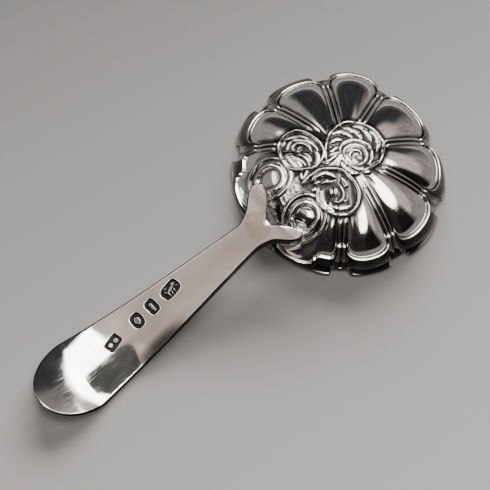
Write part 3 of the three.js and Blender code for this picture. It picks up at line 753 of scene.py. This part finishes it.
def build_bowl(context):
    sizes, finish = context.scene.spoon_sizes, context.scene.spoon_finish
    x, y, height, swell, fade, relief, offset, tarnish_and_painted_shade = bowl_base(sizes)
    rows, columns = x.shape
    reeds = (1 - np.cos(math.pi * sizes.reed_count * (offset + 1))) / 2 * (np.abs(offset) < REED_LIMIT) * fade
    patina_and_painted_shade = hollows(relief + reeds * sizes.reed_height / MM)
    volute = 1 - calm_share(x, y, VOLUTE_DISCS)
    patina_and_painted_shade *= 1 - VOLUTE_POLISH * volute
    sunk = (1 - calm_share(x, y, ROSETTE_DISCS)) * (1 - ease(relief, 0.02, 0.22))
    # Tarnish in the ornament's hollows and the rosettes' ground, joined with the painted shade of the grooves
    # and the skirt
    patina_and_painted_shade = np.maximum(np.maximum(patina_and_painted_shade, tarnish_and_painted_shade), ROSETTE_TARNISH * sunk)
    patina_and_painted_shade[-len(INNER_ROWS):] = 0
    points = np.stack([x, y, height], -1).reshape(-1, 3)
    top = (0, 0, sizes.dome_height / MM)
    under = (0, 0, (sizes.dome_height - sizes.sheet_thickness) / MM)
    points = np.vstack([points, top, under])
    peak = rows * columns
    faces = ring_faces(rows, columns)
    faces += fan(peak, 0, columns) + fan(peak + 1, peak - columns, columns, turned=True)
    centre_relief = ornament_relief(np.zeros(1), np.zeros(1))[0]
    padded = {key: np.append(values.ravel(), ends) for key, values, ends in (
        ("swell", swell, (0, 0)), ("reed_fade", fade, (0, 0)), ("reed_offset", offset, (NO_REED, NO_REED)),
        ("relief", relief * MM, (centre_relief * MM, 0)), ("patina_and_painted_shade", patina_and_painted_shade, (0, 0)),
    )}
    material = silver_material("polished_bowl_silver", finish)
    piece = new_piece("silver_bowl", points, faces, padded, material)
    tree, sockets = pressing_tree(material)
    apply_tree(piece, tree, {
        sockets["Petal Swell"]: sizes.petal_swell,
        sockets["Reed Height"]: sizes.reed_height,
        sockets["Reeds"]: sizes.reed_count,
        sockets["Ornament"]: sizes.ornament_height,
    })
    declare(piece, "bowl")


# Handle

def bar_thickness(x):
    return mix(END_THICKNESS, NECK_THICKNESS, ease(x, WIDEST_X, NECK_X))


def handle_top(x):
    """Height of the handle's top face at a place along it."""
    down = ease(x, FLAT_X, FORK_X + (FORK_X - NECK_X) / 2)
    straight = np.maximum((x - FLAT_X) / (FORK_X - FLAT_X), 0)
    slope = mix(down, straight ** 1.6, 0.55)
    past = np.maximum(0, (FLAT_X - x) / (FLAT_X - HANDLE_END))
    tip = np.clip((past - END_START) / (1 - END_START), 0, 1)
    droop = ARM_DROOP * np.maximum(0, (x - FORK_X) / (ARM_TIP[0] - FORK_X)) ** 2
    end_rise = END_RISE[0] * past ** 1.6 + END_RISE[1] * tip ** 1.4
    return mix(bar_thickness(FLAT_X), FORK_TOP, slope) + end_rise - droop


def handle_thickness(x):
    return mix(bar_thickness(x), ARM_THICKNESS, ease(x, ARM_ROOT[0], ARM_TIP[0]))


def bar_half_width(x):
    taper = np.clip((x - WIDEST_X) / (NECK_X - WIDEST_X), 0, 1)
    return mix(END_HALF, NECK_HALF, taper ** 0.93)


def arm_place(share):
    """Middle of the left arm and the direction square to it."""
    root, tip = np.array(ARM_ROOT), np.array(ARM_TIP)
    bend = np.array([mix(root[0], tip[0], 0.6), mix(root[1], tip[1], 0.4)])
    share = np.asarray(share, float)[:, None]
    place = root * (1 - share) ** 2 + 2 * bend * share * (1 - share) + tip * share ** 2
    along = (bend - root) * (1 - share) + (tip - bend) * share
    along /= np.linalg.norm(along, axis=1)[:, None]
    return place, np.stack([-along[:, 1], along[:, 0]], 1)


def arm_taper(share):
    """Width of an arm along its length, as a share of its full width."""
    return np.sqrt(np.clip(1 - (np.maximum(0, share - 0.6) / 0.402) ** 2, 0, 1))


def resample(line, spacing):
    """Points at even distances along a closed line."""
    closed = np.vstack([line, line[:1]])
    length = np.concatenate([[0], np.cumsum(np.linalg.norm(np.diff(closed, axis=0), axis=1))])
    count = int(length[-1] / spacing)
    at = np.linspace(0, length[-1], count, endpoint=False)
    return np.stack([np.interp(at, length, closed[:, axis]) for axis in (0, 1)], 1)


def handle_outline():
    """The handle seen from above, from the middle of its rounded end round its left side first."""
    turn = np.linspace(math.pi / 2, 0, 40)
    end = np.stack([WIDEST_X - (WIDEST_X - HANDLE_END) * np.sin(turn), END_HALF * np.cos(turn)], 1)
    bar_x = np.linspace(WIDEST_X, NECK_X + 0.9, 80)[1:]
    bar = np.stack([bar_x, bar_half_width(bar_x)], 1)
    sides = []
    for width in ARM_WIDTHS:
        edges = []
        for share, way in ((np.linspace(0.3, 1, 40), 1), (np.linspace(1, 0.12, 50), -1)):
            place, across = arm_place(share)
            edges.append(place + way * across * width / 2 * arm_taper(share)[:, None])
        inner = edges[1][edges[1][:, 1] > 0.12]
        sides.append(np.vstack([end, bar, edges[0], inner]))
    left = sides[0]
    right = sides[1][::-1] * np.array([1, -1])
    outline = resample(np.vstack([left, right[:-1]]), 0.1)
    # The corners at the fork are filed round
    for _ in range(60):
        weight = ease(outline[:, 0], -22.5, -19)[:, None] * 0.5
        middle = (np.roll(outline, 1, 0) + np.roll(outline, -1, 0)) / 2
        outline = mix(outline, middle, weight)
    return resample(outline, OUTLINE_SPACING)


def inset(outline, amount):
    """The outline moved inward; it runs clockwise seen from above."""
    along = np.roll(outline, -1, 0) - np.roll(outline, 1, 0)
    along /= np.linalg.norm(along, axis=1)[:, None]
    return outline + np.stack([along[:, 1], -along[:, 0]], 1) * amount


def mark_share(x, y, centre, half_length, half_width, turn, squareness, wall):
    """One inside a mark or a raised figure, falling to zero across its wall."""
    angle = math.radians(turn)
    along = (x - centre[0]) * math.cos(angle) + (y - centre[1]) * math.sin(angle)
    across = -(x - centre[0]) * math.sin(angle) + (y - centre[1]) * math.cos(angle)
    reach = np.abs(along / half_length) ** squareness + np.abs(across / half_width) ** squareness
    return 1 - ease((reach ** (1 / squareness) - 1) * min(half_length, half_width), -wall, wall)


def mark_depths(x, y):
    """How deep the struck marks are at each point, as a share of their full depth."""
    depth = np.zeros(x.shape)
    for centre, half_length, half_width, turn, squareness, figures in MARKS:
        sunk = mark_share(x, y, centre, half_length, half_width, turn, squareness, 0.09)
        angle = math.radians(turn)
        for place, length, width, figure_turn, figure_squareness in figures:
            middle = (centre[0] + place[0] * math.cos(angle) - place[1] * math.sin(angle),
                      centre[1] + place[0] * math.sin(angle) + place[1] * math.cos(angle))
            figure = mark_share(x, y, middle, length, width, turn + figure_turn, figure_squareness, 0.1)
            sunk = sunk * (1 - 0.85 * figure)
        depth = np.maximum(depth, sunk)
    return depth


def handle_face(x, y, sizes):
    """Height of the handle's top face, with its crown and its struck marks."""
    half = bar_half_width(x)
    crown = sizes.crown / MM * (np.abs(y) / half) ** 3
    crown *= (1 - 0.8 * ease(x, -52, -42)) * (1 - ease(x, -24, -19))
    # The face falls to the right over the wide end, and to the left towards the tip
    wide = ease(x, -56, -51) * (1 - ease(x, -45, -41.5))
    crown += WIDE_FALL * np.clip(-y / half, 0, 1) ** 1.7 * wide
    crown += TIP_FALL * np.clip(y / half, 0, 1) ** 2 * (1 - ease(x, -57, -42))
    return handle_top(x) - crown - sizes.mark_depth / MM * mark_depths(x, y)


def filed_end(x, y):
    """How much is filed off the far side of the right arm."""
    return FILED_SLOPE * np.clip(0.98 * (x + 14.75) + 0.2 * (y + 4.6), 0, None) * (y < -1.5)


def inner_grid(low, high, spacing):
    """Points of an even grid inside a box."""
    xs = np.arange(low[0], high[0], spacing)
    ys = np.arange(low[1], high[1], spacing)
    grid = np.stack(np.meshgrid(xs, ys, indexing="ij"), -1).reshape(-1, 2)
    return grid + np.array([0.0, 0.013])


def lies_within(outline, x, y):
    """True for the points inside a closed outline."""
    within = np.zeros(x.shape, bool)
    for start, end in zip(outline, np.roll(outline, -1, 0)):
        crosses = (start[1] > y) != (end[1] > y)
        if crosses.any():
            at = start[0] + (y - start[1]) / (end[1] - start[1] + 1e-12) * (end[0] - start[0])
            within ^= crosses & (x < at)
    return within


def inside(outline, points, margin):
    """Points inside a closed outline by more than a margin."""
    x, y = points.T
    away, _ = line_distance(np.vstack([outline, outline[:1]])[::2], x, y)
    return points[lies_within(outline, x, y) & (away > margin)]


def build_handle(context):
    sizes, finish = context.scene.spoon_sizes, context.scene.spoon_finish
    outline = handle_outline()
    count = len(outline)
    round_size = sizes.edge_round / MM
    turns = np.linspace(0, math.pi / 2, 8)
    top_loops = [(round_size * (1 - math.cos(t)), round_size * (1 - math.sin(t))) for t in turns]

    def top_at(p, drop=0.0):
        return handle_face(p[:, 0], p[:, 1], sizes) - filed_end(p[:, 0], p[:, 1]) - drop

    def under_at(p, rise=0.0):
        return handle_top(p[:, 0]) - handle_thickness(p[:, 0]) + rise

    rings = []
    for amount, drop in reversed(top_loops):
        p = inset(outline, amount)
        rings.append(np.column_stack([p, top_at(p, drop)]))
    wall_top, wall_under = rings[-1], np.column_stack([outline, under_at(outline, round_size * 0.7)])
    for share in (0.33, 0.67):
        rings.append(mix(wall_top, wall_under, share))
    for amount, drop in top_loops:
        p = inset(outline, amount * 0.7)
        rings.append(np.column_stack([p, under_at(p, drop * 0.7)]))
    points = [np.vstack(rings)]
    # The outline runs clockwise, so its walls are turned to face out
    faces = [face[::-1] for face in ring_faces(len(rings), count)]

    def fill(ring_start, loop, height_at, spacing, fine_zones, flip):
        margin = spacing * 0.45
        loose = inside(loop, inner_grid(loop.min(0), loop.max(0), spacing), margin)
        for low, high in fine_zones:
            clear = ~((loose > low).all(1) & (loose < high).all(1))
            loose = np.vstack([loose[clear], inside(loop, inner_grid(low, high, MARK_SPACING), margin)])
        flat = [Vector(p) for p in np.vstack([loop, loose])]
        border = [(k, (k + 1) % count) for k in range(count)]
        placed, _, made, origin, _, _ = delaunay_2d_cdt(flat, border, [], 1, 1e-6)
        base = sum(len(block) for block in points)
        placed = np.array([tuple(p) for p in placed])
        index = []
        extra = []
        for k, sources in enumerate(origin):
            ring = [s for s in sources if s < count]
            if ring:
                index.append(ring_start + ring[0])
            else:
                index.append(base + len(extra))
                extra.append(k)
        p = placed[extra]
        points.append(np.column_stack([p, height_at(p)]))
        for triangle in made:
            a, b, c = (index[k] for k in triangle)
            faces.append((c, b, a) if flip else (a, b, c))

    reaches = [(np.array(centre), max(length, width) + 0.35) for centre, length, width, *_ in MARKS]
    zones = [(centre - reach, centre + reach) for centre, reach in reaches]
    fill(0, rings[0][:, :2], top_at, OUTLINE_SPACING, zones, False)
    fill((len(rings) - 1) * count, rings[-1][:, :2], under_at, UNDER_SPACING, [], True)
    whole = np.vstack(points)
    x, y = whole[:, 0], whole[:, 1]
    below = handle_top(x) - whole[:, 2]
    patina_and_painted_shade = np.clip(mark_depths(x, y) * MARK_TARNISH[0], 0, MARK_TARNISH[1]) * (below < 0.6)
    border = smooth_curve(STAIN, closed=True)
    edge, _ = line_distance(border, x, y)
    stain = ease(np.where(lies_within(border, x, y), edge, -edge), -0.12, 0.2)
    # Painted shade: the rounded edges and walls that face one way, or straight away from it, are darkened as
    # if shaded
    outward = outline - inset(outline, 1)
    shaded = ease(np.abs(outward @ np.array(SHADED_SIDE)), 0.0, 0.35)
    for ring in range(1, len(top_loops) + 2):
        patina_and_painted_shade[ring * count:(ring + 1) * count] = WALL_PAINTED_SHADE * shaded
    stain *= below < 0.25
    # A darker patch over the right part of the face, growing darker towards the right edge
    strength, middle, spread = RIGHT_EDGE_DARKENING
    right_edge_darkening = strength * ease(-y / bar_half_width(x), 0.5, 1) * np.exp(-((x - middle) / spread) ** 2)
    patina_and_painted_shade = np.maximum(patina_and_painted_shade, right_edge_darkening * (below < 0.9))
    whole[:, 1] += HANDLE_SIDE
    whole[:, 2] = np.maximum(whole[:, 2], 0)
    piece = new_piece("silver_handle", whole, faces, {"patina_and_painted_shade": patina_and_painted_shade, "stain": stain},
                      silver_material("polished_handle_silver", finish, stained=True))
    declare(piece, "handle")


# Solder

def build_solder(context, side, name, node, material):
    """Solder that fills the wedge between one arm of the fork and the bowl's back."""
    bowl = context.scene.objects["silver_bowl"].data
    back = BVHTree.FromPolygons([v.co for v in bowl.vertices], [face.vertices[:] for face in bowl.polygons])

    def bowl_back(x, y):
        above = Vector((CENTRE[0] + x * MM, CENTRE[1] + y * MM, 1.0))
        return back.ray_cast(above, Vector((0, 0, -1)))[0].z / MM

    rows, columns = 31, 32
    arm_width = ARM_WIDTHS[0 if side > 0 else 1]
    rings = []
    for along in np.linspace(0, 1, rows):
        share = mix(*SOLDER_SHARES, along)
        place, across = arm_place([share])
        place, across = place[0] * (1, side), across[0] * (1, side) * side
        half = arm_width / 2 * arm_taper(share) + 0.05
        foot = 1 + SOLDER_SPREAD * ease(along, 0, 0.4)
        ring = []
        for turn in np.linspace(0, 2 * math.pi, columns, endpoint=False):
            low = (1 + math.sin(turn)) / 2
            reach = math.cos(turn) * half * mix(0.86, foot, low ** 2)
            x = place[0] + across[0] * reach
            y = place[1] + HANDLE_SIDE + across[1] * reach
            arm_under = handle_top(x) - handle_thickness(x) + SOLDER_SINK
            on_bowl = mix(arm_under - 0.3, bowl_back(x, y) - SOLDER_SINK, ease(along, -0.1, 0.38))
            ring.append((x, y, mix(arm_under, min(on_bowl, arm_under - 0.02), low)))
        rings.append(np.array(ring))
    points = np.vstack(rings + [rings[0].mean(0), rings[-1].mean(0)])
    first = rows * columns
    faces = ring_faces(rows, columns)
    faces += fan(first, 0, columns) + fan(first + 1, first - columns, columns, turned=True)
    declare(new_piece(name, points, faces, {}, material), node)


# Stage

# What surrounds the spoon, each panel over the ones before: azimuth, elevation, half width, half height,
# softness across and upward, all in degrees, then its colour
PANELS = (
    (50, -4, 80, 10, 30, 12, (0.15, 0.14, 0.135)),
    (52, 34, 42, 20, 30, 18, (0.033, 0.036, 0.040)),
    (-30, 4, 22, 24, 28, 18, (0.28, 0.25, 0.238)),
    (-20, 48, 30, 8, 22, 12, (0.61, 0.545, 0.52)),
    (122, 12, 22, 30, 22, 12, (0.31, 0.29, 0.283)),
    (138, 54, 26, 6, 20, 7, (3.0, 2.75, 2.6)),
    (-140, 28, 32, 18, 16, 14, (0.022, 0.020, 0.020)),
    (-85, 22, 16, 26, 20, 12, (0.010, 0.009, 0.010)),
    (0, 90, 400, 26, 1, 6, (0.645, 0.53, 0.48)),
    (34, 72, 57, 10, 6, 4, (10.0, 9.7, 9.3)),
    (-80, 69, 50, 8, 16, 5, (7.0, 6.8, 6.6)),
    (0, 90, 400, 11, 1, 2, (0.09, 0.09, 0.086)),
)
SURROUND = (0.063, 0.055, 0.052)
SURROUND_CAMERA = (0.5, 0.48, 0.46)  # the same where the camera sees past the floor
FLOOR_PAINTED_LIGHT = (-3.4, -8.1)  # painted light: how fast the floor is painted paler along X and along Y, per metre
FLOOR_SPREAD = 0.55  # how far the painted light goes either way before it stays even
FLOOR_PAINTED_RANGE = (0.45, 1.55)  # the darkest and the palest of the painted light, over the floor's colour
FLOOR_SHADE_IN_REFLECTIONS = 0.5  # painted shade: the floor darkened as the silver shows it in reflections
FLOOR_HALF = 1.5  # metres
LAMP_PLACE = (40, 23)  # azimuth and elevation of the lamp, in degrees
LAMP_DISTANCE = 0.45  # metres
LAMP_SIZE = (0.44, 0.13)
LAMP_POWER = 20  # watts


def build_world(studio):
    world = bpy.data.worlds.new("studio")
    world.use_nodes = True
    tree = world.node_tree
    tree.nodes.clear()
    direction = tree.nodes.new("ShaderNodeTexCoord").outputs["Generated"]
    split = add_node(tree, "ShaderNodeSeparateXYZ", {0: direction}).outputs
    elevation = calc(tree, "DEGREES", calc(tree, "ARCSINE", split[2]))
    azimuth = calc(tree, "DEGREES", calc(tree, "ARCTAN2", split[1], split[0]))

    def within(distance, half, soft):
        away = calc(tree, "ABSOLUTE", distance)
        return map_range(tree, away, float(half), float(half + soft), 1.0, 0.0, smooth=True)

    colour = SURROUND
    for place, height, half_width, half_height, side_soft, edge_soft, tint in PANELS:
        turned = calc(tree, "WRAP", calc(tree, "SUBTRACT", azimuth, float(place)), 180.0, -180.0)
        beside = within(turned, half_width, side_soft)
        over = within(calc(tree, "SUBTRACT", elevation, float(height)), half_height, edge_soft)
        colour = mix_colour(tree, calc(tree, "MULTIPLY", beside, over), colour, tint)
    colour = scaled(tree, colour, map_range(tree, noise(tree, direction, 7.0, 3.0), 0.3, 0.7, 0.7, 1.3))
    seen = tree.nodes.new("ShaderNodeLightPath").outputs["Is Camera Ray"]
    colour = mix_colour(tree, seen, colour, SURROUND_CAMERA)
    light = add_node(tree, "ShaderNodeBackground", {"Color": colour, "Strength": studio.strength})
    add_node(tree, "ShaderNodeOutputWorld", {"Surface": light.outputs[0]})
    bpy.context.scene.world = world


def build_lamp(studio):
    """A soft lamp behind the bowl that gives the floor its shadows; polished faces don't show it."""
    data = bpy.data.lights.new("soft_lamp", "AREA")
    data.shape = "RECTANGLE"
    data.size, data.size_y = LAMP_SIZE
    data.energy = LAMP_POWER * studio.strength
    lamp = show("soft_lamp", data)
    azimuth, elevation = (math.radians(angle) for angle in LAMP_PLACE)
    level = math.cos(elevation)
    away = Vector((math.cos(azimuth) * level, math.sin(azimuth) * level, math.sin(elevation)))
    lamp.location = away * LAMP_DISTANCE
    lamp.rotation_euler = away.to_track_quat("Z", "Y").to_euler()
    lamp.visible_glossy = False


def build_floor(studio):
    corners = [(x * FLOOR_HALF, y * FLOOR_HALF, 0) for x, y in ((-1, -1), (1, -1), (1, 1), (-1, 1))]
    mesh = bpy.data.meshes.new("floor")
    mesh.from_pydata(corners, [], [(0, 1, 2, 3)])
    material, tree, place = new_material("pale_floor")
    split = add_node(tree, "ShaderNodeSeparateXYZ", {0: place}).outputs
    # The floor's colour is lightly mottled and painted paler one way: painted light for how unevenly the
    # light falls on it
    mottle_and_painted_light = calc(tree, "MULTIPLY", noise(tree, place, 900.0, 3.0), 0.03)
    for axis, growth in enumerate(FLOOR_PAINTED_LIGHT):
        mottle_and_painted_light = calc(tree, "MULTIPLY_ADD", split[axis], growth, mottle_and_painted_light)
    mottle_and_painted_light = map_range(tree, mottle_and_painted_light, -FLOOR_SPREAD, FLOOR_SPREAD)
    dark, pale, shaded_in_reflections = ([c * f for c in studio.floor] for f in (*FLOOR_PAINTED_RANGE, FLOOR_SHADE_IN_REFLECTIONS))
    # Reflections show the floor darker than the camera sees it: painted shade
    glossy = tree.nodes.new("ShaderNodeLightPath").outputs["Is Glossy Ray"]
    colour = mix_colour(tree, glossy, mix_colour(tree, mottle_and_painted_light, dark, pale), shaded_in_reflections)
    shade(tree, {"Base Color": colour, "Roughness": 0.85, "Specular IOR Level": 0.15})
    mesh.materials.append(material)
    show("floor", mesh)


# Camera, from the picture's perspective: millimetres from the bowl's middle, then its lens
CAMERA_PLACE = (-52.63, -40.86, 152.35)
CAMERA_TARGET = (-19.93, -0.06, 0.0)
CAMERA_LENS = 73.47


def build_camera():
    data = bpy.data.cameras.new("camera")
    data.lens = CAMERA_LENS
    data.sensor_width = 36.0
    data.clip_start = 0.01
    camera = show("camera", data)
    place, target = Vector(CAMERA_PLACE) * MM, Vector(CAMERA_TARGET) * MM
    camera.location = place + Vector((*CENTRE, 0))
    camera.rotation_euler = (target - place).to_track_quat("-Z", "Y").to_euler()
    bpy.context.scene.camera = camera


class SPOON_OT_bowl(bpy.types.Operator):
    """Presses the petalled bowl"""
    bl_idname = "spoon.bowl"
    bl_label = "Bowl"

    def execute(self, context):
        build_bowl(context)
        return {"FINISHED"}


class SPOON_OT_handle(bpy.types.Operator):
    """Forges the forked handle"""
    bl_idname = "spoon.handle"
    bl_label = "Handle"

    def execute(self, context):
        build_handle(context)
        return {"FINISHED"}


class SPOON_OT_solder(bpy.types.Operator):
    """Runs solder under both arms of the fork"""
    bl_idname = "spoon.solder"
    bl_label = "Solder"

    def execute(self, context):
        material = solder_material(context.scene.spoon_finish)
        build_solder(context, 1, "solder_fillet_left", "solder_left", material)
        build_solder(context, -1, "solder_fillet_right", "solder_right", material)
        return {"FINISHED"}


class SPOON_OT_stage(bpy.types.Operator):
    """Sets the floor, the light and the camera"""
    bl_idname = "spoon.stage"
    bl_label = "Stage"

    def execute(self, context):
        studio = context.scene.spoon_studio
        build_floor(studio)
        build_world(studio)
        build_lamp(studio)
        build_camera()
        return {"FINISHED"}


OPERATORS = (SPOON_OT_stage, SPOON_OT_bowl, SPOON_OT_handle, SPOON_OT_solder)
GROUPS = {"spoon_sizes": SpoonSizes, "spoon_finish": SpoonFinish, "spoon_studio": SpoonStudio}


class SPOON_PT_panel(bpy.types.Panel):
    """Sizes, finishes and steps of the spoon"""
    bl_idname = "SPOON_PT_panel"
    bl_label = "Caddy spoon"
    bl_space_type = "VIEW_3D"
    bl_region_type = "UI"
    bl_category = "Spoon"

    def draw(self, context):
        for name, group in GROUPS.items():
            box = self.layout.box()
            for prop in group.__annotations__:
                box.prop(getattr(context.scene, name), prop)
        for operator in OPERATORS:
            self.layout.operator(operator.bl_idname)


def register():
    for cls in (*GROUPS.values(), *OPERATORS, SPOON_PT_panel):
        bpy.utils.register_class(cls)
    for name, group in GROUPS.items():
        setattr(bpy.types.Scene, name, PointerProperty(type=group))


def unregister():
    for name in GROUPS:
        delattr(bpy.types.Scene, name)
    for cls in reversed((*GROUPS.values(), *OPERATORS, SPOON_PT_panel)):
        bpy.utils.unregister_class(cls)


def main():
    register()
    bpy.ops.spoon.stage()
    bpy.ops.spoon.bowl()
    bpy.ops.spoon.handle()
    bpy.ops.spoon.solder()


if __name__ == "__main__":
    main()
